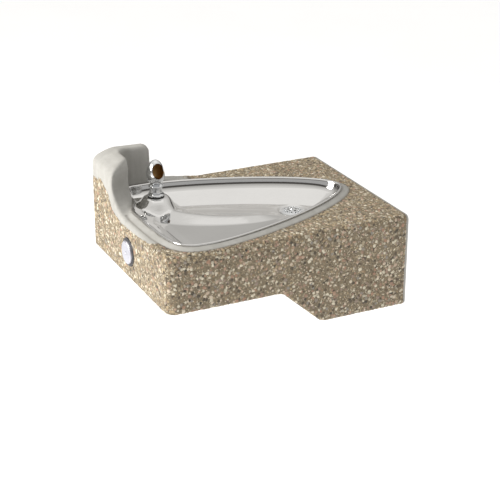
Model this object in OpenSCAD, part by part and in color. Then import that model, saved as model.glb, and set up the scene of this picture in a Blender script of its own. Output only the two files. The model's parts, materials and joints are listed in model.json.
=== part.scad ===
// Wall-hung drinking fountain: concrete body, steel basin, bubbler, push-button valve and waste.
// Millimetres. Origin: centre of the wall bolts on the wall face. +X is the user's right, +Y goes
// into the wall, +Z is up.

/* [Body] */
// Width of the concrete body
body_w = 374; // [330:1:450]
// Projection from the wall to the front face
body_l = 490; // [430:1:590]
// Height of the front part, deck to underside
front_h = 109; // [104:1:140]
// Height at the wall, deck to underside
rear_h = 182; // [168:1:240]
// Distance from the wall to the rear end of the sloped underside
slope_near = 181; // [160:1:200]
// Run of the sloped underside
slope_run = 82; // [40:1:100]
// Thickness of the side, front and rear walls
wall_t = 24; // [18:1:30]
// Thickness of the deck around the basin
deck_t = 22; // [16:1:26]
// Thickness of the underside
floor_t = 20; // [15:1:24]
// Radius of the upright corners
corner_r = 18; // [6:1:30]
// Radius of the deck's front edge
edge_r = 9; // [3:1:12]

/* [Guard] */
// Height of the splash guard above the deck
guard_h = 87; // [60:1:110]
// Thickness of the guard along the left side
guard_t = 23; // [18:1:26]
// Thickness of the guard along the front
guard_front_t = 46; // [30:1:50]
// Length of the guard along the left side
guard_side_l = 114; // [90:1:130]
// Length of the guard along the front
guard_front_l = 92; // [70:1:110]

/* [Basin] */
// Smooth margin between the basin rim and the side faces
margin_side = 22; // [18:1:40]
// Margin between the basin rim and the front face
margin_front = 24; // [20:1:40]
// Margin between the basin's tip and the wall
margin_rear = 45; // [35:1:60]
// Distance from the basin's front edge to its widest line
widest = 68; // [60:1:80]
// Height of the rim above the deck
rim_h = 8; // [6:1:10]
// Thickness of the sheet
sheet_t = 1.2; // [0.8:0.1:2]
// Depth of the bowl's edge below the deck
bowl_edge = 12; // [10:1:15]
// Depth of the drain below the deck
bowl_depth = 31; // [28:1:36]
// Width of the smooth concrete band around the rim
band_w = 14; // [10:1:16]

/* [Bubbler] */
// Distance from the left face to the bubbler
bubbler_in = 87; // [80:1:100]
// Distance from the front face to the bubbler
bubbler_back = 98; // [90:1:110]
// Height of the bubbler's base above the deck
bubbler_rise = 4; // [0:1:6]
// Diameter of the neck
neck_d = 25.5; // [20:0.5:26]
// Width of the hood
hood_d = 36; // [32:1:40]
// Height of the hood's top above the deck
hood_top = 78; // [70:1:90]
// Diameter of the threaded shank
shank_d = 18; // [16:1:20]

/* [Drain] */
// Distance from the wall to the drain
drain_back = 149; // [140:1:165]
// Diameter of the strainer
strainer_d = 44; // [40:1:48]
// Outer diameter of the waste tube
waste_d = 31.75; // [28:0.05:34]
// Depth of the waste tube's axis below the deck
waste_drop = 128; // [122:1:134]

/* [Valve] */
// Depth of the button's axis below the deck
button_drop = 56; // [52:1:60]
// Diameter of the button
button_d = 45; // [38:1:48]
// Outer diameter of the dark ring
ring_d = 55; // [52:1:62]
// How far the button stands out of the front face
button_out = 5.5; // [5:0.5:7]
// Travel of the button
button_travel = 4; // [2:0.5:4.5]
// Diameter of the valve body
valve_d = 28; // [26:1:30]
// Length of the valve body behind the front wall
valve_l = 62; // [58:1:70]

/* [Supply] */
// Distance of the stop from the middle of the body
stop_x = 68; // [62:1:80]
// Outer diameter of the supply tube
supply_d = 9.525; // [8:0.005:10]
// Outer diameter of the bubbler tube
feed_d = 6.35; // [6:0.01:8]
// Radius of the threaded inlet
inlet_r = 9.1; // [8:0.1:9.5]

/* [Mounting] */
// Spacing of the wall bolts across
bolt_x = 254; // [220:1:270]
// Spacing of the wall bolts up and down
bolt_z = 102; // [90:1:110]
// Radius of the bolt holes
bolt_hole_r = 7.15; // [6:0.05:8]

/* [Hidden] */
$fn = 48;

// Clearance of a part that slips into or over another
slip = 0.15;
// Radial clearance of parts that run in each other
run_c = 0.05;
deck = rear_h / 2;
front = -body_l;
side = body_w / 2;
slope_far = slope_near + slope_run;
rear_floor = deck - rear_h;
front_floor = deck - front_h;

// Points of an arc about a centre
function arc(c, r, from, to, n) =
    [for (i = [0:n]) let (a = from + (to - from) * i / n) [c.x + r * cos(a), c.y + r * sin(a)]];
// Point of a cubic curve through its four control points
function cubic(p, t) = pow(1 - t, 3) * p[0] + 3 * pow(1 - t, 2) * t * p[1]
    + 3 * (1 - t) * t * t * p[2] + pow(t, 3) * p[3];
function unit(v) = v / norm(v);
function lerp(a, b, t) = a + (b - a) * t;
function smooth(t) = let (c = max(0, min(1, t))) c * c * (3 - 2 * c);

// Closed solid through rings of equal point counts, with flat ends, or joined end to end
module loft(rings, closed = false) {
    n = len(rings[0]);
    m = len(rings);
    rows = closed ? m : m - 1;
    sides = [for (i = [0:rows - 1], j = [0:n - 1])
        let (a = i * n, b = ((i + 1) % m) * n, k = (j + 1) % n)
        each [[a + j, b + k, a + k], [a + j, b + j, b + k]]];
    ends = closed ? [] : [[for (j = [0:n - 1]) j], [for (j = [n - 1:-1:0]) (m - 1) * n + j]];
    polyhedron([for (r = rings) each r], concat(sides, ends), convexity = 8);
}

// Tube from p0 to p1, which leaves each mouth along its direction and reaches into its socket
socket_in = 6;
nut_out = 9;
module bent_tube(p0, d0, p1, d1, handle, r_out, r_in, steps = 14, n = 12) {
    a = p0 + d0 * nut_out;
    b = p1 + d1 * nut_out;
    curve = [a, a + d0 * handle, b + d1 * handle, b];
    path = concat([p0 - d0 * socket_in], [for (i = [0:steps]) cubic(curve, i / steps)], [p1 - d1
        * socket_in]);
    last = len(path) - 1;
    function dir(i) = unit(path[min(last, i + 1)] - path[max(0, i - 1)]);
    function ring(i, r) = let (d = i == 0 || i == 1 ? d0 : i >= last - 1 ? -d1 : dir(i),
            u = unit(cross(d, [1, 0, 2])), v = cross(d, u))
        [for (j = [0:n - 1]) path[i] + r * (u * cos(360 * j / n) + v * sin(360 * j / n))];
    loft(concat([for (i = [0:last]) ring(i, r_out)], [for (i = [last:-1:0]) ring(i, r_in)]), closed = true);
}

module at(x, y, z) { translate([x, y, z]) children(); }
// Child's +Z turned to +Y or to -Y
module along_y() { rotate([-90, 0, 0]) children(); }
module along_front() { rotate([90, 0, 0]) children(); }
module ring_solid(r_out, r_in, h) {
    difference() {
        cylinder(r = r_out, h = h);
        at(0, 0, -1) cylinder(r = r_in, h = h + 2);
    }
}
module hex_nut(flats, r_in, h) {
    difference() {
        cylinder(r = flats / sqrt(3), h = h, $fn = 6);
        at(0, 0, -1) cylinder(r = r_in, h = h + 2);
    }
}
// Outline in Y and Z, spread along X from x0 to x1
module across(x0, x1, points) {
    at(x0, 0, 0) rotate([90, 0, 90]) linear_extrude(x1 - x0) polygon(points);
}

// ---- basin outline ----
basin_half = side - margin_side;
basin_front = front + margin_front;
widest_y = basin_front + widest;
basin_tip = -margin_rear;
outline_n = 14;
rear_curve = [[basin_half, widest_y], [basin_half, widest_y + 94], [69, basin_tip], [0, basin_tip]];
front_curve = [[0, basin_front], [basin_half - 17, basin_front], [basin_half, widest_y - 57],
    [basin_half, widest_y]];
// At the left front the rim steps back from the front face and follows the guard
step_in = guard_front_t - margin_front;
step_from = side - guard_front_l - 62;
step_run = 64;
corner_in = 24;
step_n = 9;
outline = concat(
    [for (i = [0:outline_n - 1]) cubic(front_curve, i / outline_n)],
    [for (i = [0:outline_n]) cubic(rear_curve, i / outline_n)],
    [for (i = [outline_n - 1:-1:0]) let (p = cubic(rear_curve, i / outline_n)) [-p.x, p.y]],
    arc([corner_in - basin_half, basin_front + step_in + corner_in], corner_in, 180, 270, 4),
    [for (i = [step_n - 1:-1:1]) let (x = (basin_half - corner_in) * i / step_n)
        [-x, basin_front + step_in * smooth((x - step_from) / step_run)]]);
points_n = len(outline);
function outward(i) = let (d = unit(outline[(i + 1) % points_n] - outline[(i
    + points_n - 1) % points_n])) [d.y, -d.x];
// Rim outline moved outwards by d, or inwards if d is negative
function rim(d) = [for (i = [0:points_n - 1]) outline[i] + outward(i) * d];
function at_z(points, z) = [for (p = points) [p.x, p.y, z]];

drain = [0, -drain_back];
drain_r = strainer_d / 2 + 7;
barrel_r = 19.8;
drain_hole_r = barrel_r + 1.6;
bowl_in = 20;
bubbler = [-side + bubbler_in, front + bubbler_back];
pedestal_r = 21;
pedestal_run = 24;
ridge_h = 8;
ridge_half = 17;
// The swirl ridge curves from the bubbler to the drain
ridge = [bubbler + [12, 6], bubbler + [62, 6], drain + [30, -110], drain + [6, -30]];
ridge_path = [for (i = [0:10]) cubic(ridge, i / 10)];
function ridge_gap(p) = min([for (q = ridge_path) norm(p - q)]);
// Height of the bowl's floor at a point, f of the way from its edge to the drain
function bowl_z(p, f) =
    let (
        swirl = ridge_h * smooth(1 - ridge_gap(p) / ridge_half) * smooth(f * 8) * smooth((1 - f) * 8),
        lift = smooth(1 - (norm(p - bubbler) - pedestal_r) / pedestal_run)
    )
    lerp(deck - lerp(bowl_edge + 1, bowl_depth, f) + swirl, deck + bubbler_rise, lift);
// Point of the bowl's floor: s runs around the outline by index, f from its edge to the drain
function floor_point(s, f) =
    let (
        i = floor(s) % points_n,
        k = (i + 1) % points_n,
        edge = lerp(outline[i] - outward(i) * bowl_in, outline[k] - outward(k) * bowl_in, s - floor(s)),
        hub = drain + drain_r * unit(edge - drain)
    )
    lerp(edge, hub, f);
function floor_ring(f, drop) = [for (i = [0:points_n - 1])
    let (p = floor_point(i, f)) [p.x, p.y, bowl_z(p, f) - drop]];
function hub_ring(r, z) =
    [for (i = [0:points_n - 1]) let (p = drain + r * unit(outline[i] - outward(i)
        * bowl_in - drain)) [p.x, p.y, z]];
rim_profile = [[0, rim_h - 0.6], [-3, rim_h + 0.4], [-6, rim_h - 0.8], [-9, 2], [-14, -bowl_edge + 3]];
floor_steps = 14;
seat_z = deck - bowl_depth - 3;
basin_skin = concat(
    [for (q = rim_profile) at_z(rim(q.x), deck + q.y)],
    [for (k = [0:floor_steps]) floor_ring(k / floor_steps, 0)],
    [hub_ring(drain_r - 4, seat_z), hub_ring(drain_hole_r, seat_z)]);
basin_under = concat(
    [hub_ring(drain_hole_r, seat_z - sheet_t), hub_ring(drain_r - 4, seat_z - sheet_t)],
    [for (k = [floor_steps:-1:0]) floor_ring(k / floor_steps, sheet_t)],
    [for (i = [len(rim_profile) - 1:-1:0]) at_z(rim(rim_profile[i].x + (i > 2 ? sheet_t : 0)),
        deck + rim_profile[i].y - sheet_t)]);

// ---- concrete ----
opening_in = 5.5;
plate_lip = 10;
plate_t = 2;
rear_plate = [body_w - 104, slope_near - wall_t - 22];
rear_plate_y = -wall_t - 6 - rear_plate.y / 2;
front_plate = [230, body_l - slope_far - wall_t - 42];
front_plate_y = (front - slope_far) / 2 - 4;
screw_r = 2.5;
insert_r = 4.5;
insert_l = 14;
service = [[-32, stop_x + 30], [rear_floor + floor_t + 2, rear_floor + 84]];
housing_r = 17.5;
side_points = concat(
    [[0, deck], [0, rear_floor], [-slope_near, rear_floor], [-slope_far, front_floor]],
    [[front + edge_r / 2, front_floor], [front, front_floor + edge_r / 2]],
    arc([front + edge_r, deck - edge_r], edge_r, 180, 90, 4));
cavity_points = [
    [-wall_t, deck - deck_t], [-wall_t, rear_floor + floor_t], [-slope_near + 5, rear_floor + floor_t],
    [-slope_far + 5, front_floor + floor_t], [front + wall_t, front_floor + floor_t],
    [front + wall_t, deck - deck_t]];
plan_points = concat(
    [[side, 0], [-side, 0]],
    arc([-side + corner_r / 2, front + corner_r / 2], corner_r / 2, 180, 270, 4),
    arc([side - corner_r, front + corner_r], corner_r, 270, 360, 6));

function grid4(dx, dy, c) = [for (x = [-1, 1], y = [-1, 1]) [c.x + x * dx / 2, c.y + y * dy / 2]];
rear_screws = grid4(rear_plate.x - plate_lip, rear_plate.y - plate_lip, [0, rear_plate_y]);
front_screws = grid4(front_plate.x - plate_lip, front_plate.y - plate_lip, [0, front_plate_y]);
wall_bolts = grid4(bolt_x, bolt_z, [0, 0]);

// Raised wall at the left front corner. Its end leans back as it goes in from the front face.
guard_lean = 32;
guard_foot = deck - 30;
module guard() {
    top = deck + guard_h;
    left = -side;
    rear = front + guard_side_l;
    end_x = left + guard_front_l;
    side_view = [
        [front, guard_foot], [front, top - 18], [front + 12, top - 10], [front + 30, top - 3],
            [front + 44, top],
        [rear - 12, top - 2], [rear - 5, top - 5], [rear - 1, top - 12], [rear, top - 44], [rear,
            guard_foot]];
    end_view = [
        [-guard_front_l - side_extra, guard_foot], [-guard_front_l - side_extra, top], [8, top], [15,
            top - 5],
        [20, top - 14], [20, deck + 60], [17, deck + 48], [19, deck + 36], [30, deck + 22], [48, deck + 10],
        [60, deck + 1], [60, guard_foot]];
    swoop = [
        [rear - 1, deck - 20], [rear - 1, deck + 44], [rear + 4, deck + 20], [rear + 26, deck + 11],
        [rear + 56, deck + 7], [rear + 100, deck - 2], [rear + 100, deck - 20]];
    difference() {
        union() {
            intersection() {
                at(0, 0, rear_floor) linear_extrude(rear_h + guard_h + 1) polygon(plan_points);
                across(left, left + guard_front_l + 80, side_view);
                at(end_x, front, 0) rotate([90, 0, 180 + guard_lean]) mirror([1, 0, 0])
                    at(0, 0, -40) linear_extrude(body_l) polygon([for (p = end_view) [p.x
                        * cos(guard_lean), p.y]]);
            }
            across(left, left + guard_t - 2, swoop);
        }
        at(0, 0, guard_foot - 1) linear_extrude(guard_h + 60) polygon(rim(0.6));
    }
}
side_extra = 200;

module body_solid() {
    guard();
    intersection() {
        across(-side, side, side_points);
        at(0, 0, rear_floor - 1) linear_extrude(rear_h + 2) polygon(plan_points);
    }
    loft([at_z(rim(band_w), deck - 4), at_z(rim(band_w), deck + 1), at_z(rim(3), deck + rim_h - 2.6),
        at_z(rim(-opening_in - 3), deck + rim_h - 2.6), at_z(rim(-opening_in - 3), deck - 4)]);
}

module concrete_body() {
    color([0.72, 0.69, 0.64]) difference() {
        body_solid();
        across(-side + wall_t, side - wall_t, cavity_points);
        at(0, 0, deck - deck_t - 1) linear_extrude(deck_t + rim_h + 1) polygon(rim(-opening_in));
        // service opening in the rear wall
        at(service[0][0], -wall_t - 1, service[1][0])
            cube([service[0][1] - service[0][0], wall_t + 2, service[1][1] - service[1][0]]);
        plate_openings();
        for (b = wall_bolts) at(b.x, 0.01, b.y) along_front() cylinder(r = sleeve_r, h = wall_t + 1);
        at_valve(-1) cylinder(r = housing_r, h = wall_t + 2);
        at_valve(-1) cylinder(r = ring_r, h = collar_l + 1);
        bar_shapes();
        for (p = rear_screws) at(p.x, p.y, rear_floor + plate_t) cylinder(r = insert_r, h = insert_l);
        for (p = front_screws) at(p.x, p.y, front_floor + plate_t) cylinder(r = insert_r, h = insert_l);
    }
}

module plate_openings() {
    for (q = [[rear_plate, rear_plate_y, rear_floor], [front_plate, front_plate_y, front_floor]]) {
        size = q[0];
        at(-size.x / 2 - 0.5, q[1] - size.y / 2 - 0.5, q[2] - 1) cube([size.x + 1, size.y + 1,
            plate_t + 1]);
        at(-size.x / 2 + 2 * plate_lip, q[1] - size.y / 2 + 2 * plate_lip, q[2] - 1)
            cube([size.x - 4 * plate_lip, size.y - 4 * plate_lip, floor_t + 2]);
    }
}

sleeve_r = bolt_hole_r + 3;
bar_r = 3;
module bar_shapes() {
    x = side - wall_t / 2;
    z = deck - wall_t / 2;
    for (s = [-1, 1]) at(s * x, -wall_t, z - 10) along_front() cylinder(r = bar_r, h = body_l - 2 * wall_t);
    for (s = [-1, 1]) at(s * x, -wall_t, front_floor + 14) along_front()
        cylinder(r = bar_r, h = body_l - 2 * wall_t);
    for (y = [front + wall_t / 2, -wall_t / 2]) at(-side + 14, y, z - 1) rotate([0, 90, 0])
        cylinder(r = bar_r, h = body_w - 28);
}
module reinforcing_bars() { color([0.35, 0.3, 0.27]) bar_shapes(); }

module wall_sleeves() {
    color("silver") for (b = wall_bolts) at(b.x, 0, b.y) along_front() ring_solid(sleeve_r,
        bolt_hole_r, wall_t);
}

module access_plate(size, y, z, screws) {
    color([0.7, 0.71, 0.72]) difference() {
        at(-size.x / 2, y - size.y / 2, z) cube([size.x, size.y, plate_t]);
        for (p = screws) at(p.x, p.y, z - 1) cylinder(r = screw_r + 0.3, h = plate_t + 2);
    }
}
module rear_access_plate() { access_plate(rear_plate, rear_plate_y, rear_floor, rear_screws); }
module front_access_plate() { access_plate(front_plate, front_plate_y, front_floor, front_screws); }

module plate_screw() {
    head_r = 4.6;
    difference() {
        union() {
            at(0, 0, -2.6) cylinder(r1 = head_r - 1.4, r2 = head_r, h = 2.6);
            cylinder(r = screw_r, h = 12);
        }
        at(0, 0, -2.7) cylinder(r = 1.6, h = 2, $fn = 6);
        at(0, 0, -3) cylinder(r = 0.5, h = 0.4);
    }
}
module access_plate_screws() {
    color("silver") {
        for (p = rear_screws) at(p.x, p.y, rear_floor) plate_screw();
        for (p = front_screws) at(p.x, p.y, front_floor) plate_screw();
    }
}
module access_plate_inserts() {
    color("goldenrod") {
        for (p = rear_screws) at(p.x, p.y, rear_floor + plate_t) ring_solid(insert_r, screw_r, insert_l);
        for (p = front_screws) at(p.x, p.y, front_floor + plate_t) ring_solid(insert_r, screw_r, insert_l);
    }
}

// ---- basin ----
module basin() {
    color([0.86, 0.87, 0.88]) difference() {
        loft(concat(basin_skin, basin_under), closed = true);
        at(bubbler.x, bubbler.y, deck - 30) cylinder(r = shank_d / 2 + slip, h = 40);
    }
}

module basin_seal() {
    z = deck + rim_h - 2.6;
    color([0.3, 0.3, 0.3]) loft([at_z(rim(-0.5), z), at_z(rim(-0.5), z + 0.8), at_z(rim(-5), z + 0.8),
        at_z(rim(-5), z)],
        closed = true);
}

stud_in = 20;
// Places along the outline: right front corner, right rear, left rear, left front
stud_places = [outline_n - 5, 2 * outline_n - 5, 2 * outline_n + 5, points_n - step_n + 2];
stud_r = 2.5;
bar_z = deck - deck_t;
bar_t = 3;
module at_stud(k) {
    p = outline[k] - outward(k) * stud_in;
    at(p.x, p.y, 0) rotate([0, 0, atan2(outward(k).y, outward(k).x)]) children();
}
stud_l = 14;
stud_top = deck - bowl_edge - 1 - sheet_t - 1.4;
module basin_studs() {
    color("silver") for (k = stud_places) at_stud(k) at(0, 0, bar_z - stud_l)
        cylinder(r = stud_r, h = stud_top - bar_z + stud_l);
}
module basin_clamp_bars() {
    color([0.6, 0.62, 0.64]) for (k = stud_places) at_stud(k) difference() {
        at(-8, -8, bar_z - bar_t) cube([stud_in + 8, 16, bar_t]);
        at(0, 0, bar_z - bar_t - 1) cylinder(r = stud_r + slip, h = bar_t + 2);
    }
}
module basin_clamp_nuts() {
    color("silver") for (k = stud_places) at_stud(k) at(0, 0, bar_z - bar_t - 4) hex_nut(8, stud_r, 4);
}

// ---- bubbler ----
base_z = deck + bubbler_rise;
shank_l = 40;
module at_bubbler() { at(bubbler.x, bubbler.y, base_z) children(); }
neck_top = 27 - bubbler_rise;
hood_h = hood_top - bubbler_rise - neck_top;
water_r = 4;
gasket_t = 2;
hood_t = 2.2;
mouth_r = 11.5;
mouth_tilt = 62;
// Point of the egg-shaped hood at an angle above its middle, shrunk by its wall inside
function hood_point(a, shrink) = let (r = hood_d / 2 - shrink, h = hood_h / 2 - shrink)
    [a == 90 ? 0 : r * cos(a) * (1 - 0.12 * sin(a)), neck_top + hood_h / 2 + h * sin(a)];
hood_floor = hood_point(-45, hood_t).y;
module bubbler_head() {
    neck_r = neck_d / 2;
    color([0.85, 0.86, 0.88]) at_bubbler() difference() {
        rotate_extrude() polygon(concat(
            [[water_r, -shank_l], [shank_d / 2, -shank_l], [shank_d / 2, gasket_t], [15, gasket_t],
             [15, gasket_t + 1.5], [neck_r + 1, 7], [neck_r, 10], [neck_r - 0.6, neck_top - 4],
             [neck_r + 1.4, neck_top - 2], [neck_r + 1.4, neck_top + 1]],
            [for (i = [0:10]) hood_point(-60 + 15 * i, 0)],
            [for (i = [9:-1:0]) hood_point(-45 + 15 * i, hood_t)],
            [[water_r, hood_floor]]));
        at(0, 0, neck_top + hood_h / 2) rotate([0, mouth_tilt, 0]) cylinder(r = mouth_r, h = 40);
    }
}
nozzle_r = 7;
nozzle_t = 4;
module bubbler_nozzle() {
    color("goldenrod") at_bubbler() difference() {
        union() {
            at(0, 0, hood_floor - 14) cylinder(r = water_r, h = 15);
            at(0, 0, hood_floor) cylinder(r = nozzle_r, h = nozzle_t);
        }
        at(0, 0, hood_floor - 15) cylinder(r = 1.6, h = 14 + nozzle_t + 2);
    }
}
module bubbler_gasket() { color([0.1, 0.1, 0.1]) at_bubbler() ring_solid(16, shank_d / 2 + slip,
    gasket_t); }
module bubbler_washer() {
    color([0.1, 0.1, 0.1]) at_bubbler() at(0, 0, -sheet_t - 3) ring_solid(shank_d / 2 + 5,
        shank_d / 2 + slip, 3);
}
module bubbler_locknut() {
    color("goldenrod") at_bubbler() at(0, 0, -sheet_t - 3 - 7) hex_nut(28, shank_d / 2, 7);
}
feed_y = front + wall_t + 34;
feed_from = [-valve_d / 2 - 8, feed_y, deck - button_drop];
feed_to = [bubbler.x, bubbler.y, base_z - shank_l];
module bubbler_tube() {
    color([0.75, 0.75, 0.7]) bent_tube(feed_from, [-1, 0, 0], feed_to, [0, 0, -1], 16, feed_d / 2,
        feed_d / 2 - 1);
}

// ---- drain ----
strainer_t = 1.5;
seat_gap = 0.2;
module at_drain(z) { at(drain.x, drain.y, z) children(); }
flange_t = 2;
flange_z = seat_z + seat_gap;
strainer_z = flange_z + flange_t;
dome_r = 90;
module drain_strainer() {
    r = strainer_d / 2;
    rise = dome_r - sqrt(dome_r * dome_r - r * r);
    color([0.85, 0.86, 0.88]) at_drain(strainer_z) difference() {
        rotate_extrude() polygon(concat([[0, rise]],
            [for (i = [1:6]) let (x = r * i / 6) [x, rise - dome_r + sqrt(dome_r * dome_r - x * x)]],
            [[r, 0]], [[r - 3, 0], [0, rise - strainer_t]]) );
        for (i = [0:9]) rotate([0, 0, 36 * i]) at(r * 0.68, 0, -1) cylinder(r = 2.6, h = 8);
        for (i = [0:4]) rotate([0, 0, 72 * i + 18]) at(r * 0.36, 0, -1) cylinder(r = 2.2, h = 8);
        cylinder(r = 2.2, h = 10, center = true);
    }
}
strainer_rise = dome_r - sqrt(dome_r * dome_r - strainer_d * strainer_d / 4);
module strainer_screw() {
    color("silver") at_drain(strainer_z + strainer_rise) difference() {
        union() {
            cylinder(r1 = 3.6, r2 = 2.6, h = 1.6);
            at(0, 0, -18) cylinder(r = 2, h = 18.5);
        }
        at(-4, -0.5, 0.9) cube([8, 1, 2]);
    }
}
waste_r = waste_d / 2;
barrel_l = 36;
tail_l = 64;
module drain_body() {
    color([0.8, 0.72, 0.45]) at_drain(flange_z) difference() {
        union() {
            cylinder(r = strainer_d / 2 + 1.5, h = flange_t);
            at(0, 0, -barrel_l) cylinder(r = barrel_r, h = barrel_l + 1);
            at(0, 0, -tail_l) cylinder(r = waste_r, h = tail_l);
        }
        difference() {
            at(0, 0, -tail_l - 1) cylinder(r = waste_r - 2, h = tail_l + 10);
            at(-waste_r, -4, -12) cube([2 * waste_r, 8, 5]);
        }
        at(0, 0, -20) cylinder(r = 2, h = 20);
    }
}
under_z = seat_z - sheet_t;
module drain_gasket() { color([0.1, 0.1, 0.1]) at_drain(under_z - 3) ring_solid(25, barrel_r + slip, 3); }
module drain_locknut() { color("goldenrod") at_drain(under_z - 3 - 8) hex_nut(52, barrel_r, 8); }

elbow_r = waste_r + 3.4;
bend = 24;
waste_z = deck - waste_drop;
socket_l = 18;
bend_top = waste_z + bend;
bend_y = drain.y + bend;
module elbow_run(r, extra) {
    at_drain(bend_top) cylinder(r = r, h = socket_l + extra);
    at(0, bend_y, bend_top) rotate([90, 0, 90]) rotate([0, 0, 180])
        rotate_extrude(angle = 90) at(bend, 0, 0) circle(r = r);
    at(0, bend_y, waste_z) along_y() cylinder(r = r, h = socket_l + extra);
}
module waste_elbow() {
    color("goldenrod") difference() {
        elbow_run(elbow_r, 0);
        elbow_run(waste_r - 1.5, 1);
        at_drain(bend_top + 2) cylinder(r = waste_r + slip, h = socket_l);
        at(0, bend_y + 2, waste_z) along_y() cylinder(r = waste_r + slip, h = socket_l);
    }
}
nut_l = 14;
module slip_nut() {
    difference() {
        at(0, 0, -nut_l + 5) cylinder(r = elbow_r + 3.5, h = nut_l, $fn = 8);
        at(0, 0, -nut_l) cylinder(r = elbow_r + slip, h = nut_l + 2.2);
        cylinder(r = waste_r + slip, h = 10);
    }
}
module at_slips() {
    at_drain(bend_top + socket_l) children();
    at(0, bend_y + socket_l, waste_z) along_y() children();
}
module slip_nuts() { color("goldenrod") at_slips() slip_nut(); }
module slip_washers() { color([0.2, 0.2, 0.2]) at_slips() ring_solid(elbow_r - 0.3, waste_r + slip, 2.2); }
waste_end = 3;
bead_from_end = 36;
module waste_tube() {
    start = bend_y + 4;
    color("goldenrod") at(0, start, waste_z) along_y() difference() {
        union() {
            cylinder(r = waste_r, h = -waste_end - start);
            at(0, 0, -waste_end - start - bead_from_end - 2) cylinder(r = waste_r + 0.8, h = 2);
        }
        at(0, 0, -1) cylinder(r = waste_r - 1.2, h = body_l);
    }
}

// ---- push button and valve ----
// Along the valve, lengths run inwards from the front face
axis_z = deck - button_drop;
module at_valve(l) { at(0, front + l, axis_z) along_y() children(); }
recess_r = button_d / 2 + 0.5;
button_skirt = 2;
recess_l = button_skirt + button_travel + 2;
collar_l = 10;
ring_r = ring_d / 2;
hub_r = 8;
hub_end = 16;
guide_end = hub_end + button_travel + 4;
button_wall = 3;
stem_r = 3;
stem_from = 4;
access_r = 2.2;
thread_r = 13;
gland_l = guide_end + 1;
gland_t = 4;
body_from = wall_t + 12;
body_to = wall_t + valve_l;
bore_r = 9;
bore_to = body_to - 10;
seat_l = bore_to - 12;
seat_t = 2.5;
seal_t = 2;
inlet_to = body_to + 14;
module push_button() {
    color([0.87, 0.87, 0.93]) at_valve(0) difference() {
        union() {
            rotate_extrude() polygon([
                [0, -button_out], [button_d / 2 - 3, -button_out], [button_d / 2 - 1, -button_out + 0.8],
                [button_d / 2, -button_out + 2.6], [button_d / 2, button_skirt],
                [button_d / 2 - button_wall, button_skirt], [button_d / 2 - button_wall,
                    button_wall - button_out],
                [0, button_wall - button_out]]);
            at(0, 0, -button_out + 1) cylinder(r = hub_r - run_c, h = hub_end + button_out - 1);
        }
        at(0, 0, -button_out - 1) cylinder(r = access_r, h = hub_end + 10);
        at(0, 0, stem_from) cylinder(r = stem_r + run_c, h = hub_end);
    }
}
module button_housing() {
    color([0.16, 0.16, 0.17]) at_valve(0) difference() {
        union() {
            at(0, 0, -1.5) cylinder(r = ring_r - slip, h = collar_l + 1.5);
            cylinder(r = housing_r - slip, h = body_from);
        }
        at(0, 0, -3) cylinder(r = recess_r, h = recess_l + 3);
        cylinder(r = hub_r, h = body_from + 1);
        at(0, 0, guide_end) cylinder(r = thread_r, h = body_from);
    }
}
housing_nut_t = 8;
module housing_locknut() {
    color([0.7, 0.71, 0.72]) at_valve(wall_t) hex_nut(44, housing_r - slip, housing_nut_t);
}
module return_spring() {
    wire = 0.7;
    coil_r = 10.4;
    from = button_wall - button_out + wire;
    to = recess_l - wire;
    turns = 3;
    steps = 16 * turns;
    function ring(i) = let (a = 360 * turns * i / steps, l = lerp(from, to, i / steps))
        [for (j = [0:5]) let (b = 60 * j) [
            (coil_r + wire * cos(b)) * cos(a), (coil_r + wire * cos(b)) * sin(a), l + wire * sin(b)]];
    color("silver") at_valve(0) loft([for (i = [0:steps]) ring(i)]);
}
module valve_body() {
    color("goldenrod") difference() {
        union() {
            at_valve(gland_l) cylinder(r = thread_r, h = body_from - gland_l + 1);
            at_valve(body_from) cylinder(r = valve_d / 2, h = body_to - body_from);
            at_valve(body_to - 1) cylinder(r = boss_r(supply_d), h = inlet_to - body_to + 1);
            at(0, feed_y, axis_z) rotate([0, -90, 0]) cylinder(r = boss_r(feed_d), h = -feed_from.x);
        }
        at_valve(gland_l + gland_t) cylinder(r = bore_r, h = bore_to - gland_l - gland_t);
        at_valve(gland_l - 1) cylinder(r = stem_r + run_c, h = gland_t + 2);
        at_valve(bore_to - 1) cylinder(r = 3, h = inlet_to - bore_to + 2);
        at_valve(inlet_to - socket_in - 1) cylinder(r = supply_d / 2 + slip, h = socket_in + 2);
        at(-bore_r + 1, feed_y, axis_z) rotate([0, -90, 0]) cylinder(r = 2, h = 30);
        at(feed_from.x + socket_in + 1, feed_y, axis_z) rotate([0, -90, 0])
            cylinder(r = feed_d / 2 + slip, h = socket_in + 2);
    }
}
cartridge_from = gland_l + gland_t + seal_t;
screen_l = 5;
cartridge_to = bore_to - screen_l;
chamber_r = 6.2;
groove_r = 7.5;
seal_places = [cartridge_from + 5, seat_l - 6];
module cartridge_bore(l, r, h) { at_valve(l) cylinder(r = r, h = h); }
module valve_cartridge() {
    color([0.9, 0.9, 0.86]) difference() {
        at_valve(cartridge_from) cylinder(r = bore_r - run_c, h = cartridge_to - cartridge_from);
        cartridge_bore(cartridge_from - 1, stem_r + run_c, 4);
        cartridge_bore(cartridge_from + 2, chamber_r, seat_l - cartridge_from - 2);
        cartridge_bore(seat_l - 1, stem_r + 1, seat_t + 2);
        cartridge_bore(seat_l + seat_t, chamber_r + 1, cartridge_to);
        for (l = seal_places) at_valve(l) ring_solid(bore_r + 1, groove_r, 2);
        at(-chamber_r + 1, feed_y, axis_z) rotate([0, -90, 0]) cylinder(r = 2, h = 6);
    }
}
module cartridge_seals() {
    color([0.1, 0.1, 0.1]) for (l = seal_places) at_valve(l + 0.1) ring_solid(bore_r, groove_r, 1.8);
}
module stem_seal() {
    color([0.1, 0.1, 0.1]) at_valve(gland_l + gland_t) ring_solid(bore_r - slip, stem_r + run_c, seal_t);
}
washer_l = seat_l + seat_t + 0.05;
washer_t = 2.5;
screw_l = 8;
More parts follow.
